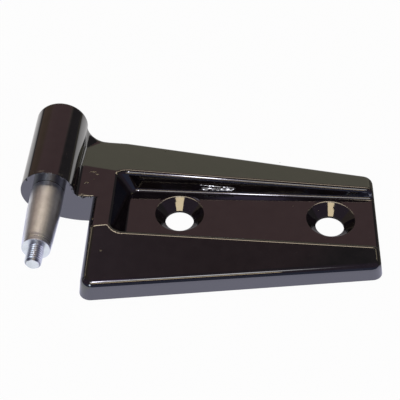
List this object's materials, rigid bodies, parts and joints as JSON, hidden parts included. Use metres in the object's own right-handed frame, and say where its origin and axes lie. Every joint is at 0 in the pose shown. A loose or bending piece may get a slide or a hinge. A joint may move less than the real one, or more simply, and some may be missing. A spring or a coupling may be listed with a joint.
{
  "type": "car door hinge half",
  "caption": "Pin half of a lift-off car door hinge: a tapered black cast leaf with a recessed screw channel, and a barrel that holds a steel pin ending in a threaded stud.",
  "frame": {"origin": "midway between the two screw holes, on the flat mounting face", "axes": "+X along the leaf from the barrel to the free end, -Y the way the pin points, +Z out of the mounting face to the side that is seen"},
  "size_m": [0.112, 0.0674, 0.0201],
  "materials": {
    "black_paint": "gloss",
    "turned_steel": "satin"
  },
  "bodies": {
    "root": {"hinge_leaf": "black_paint", "hinge_pin": "turned_steel"}
  },
  "joints": []
}
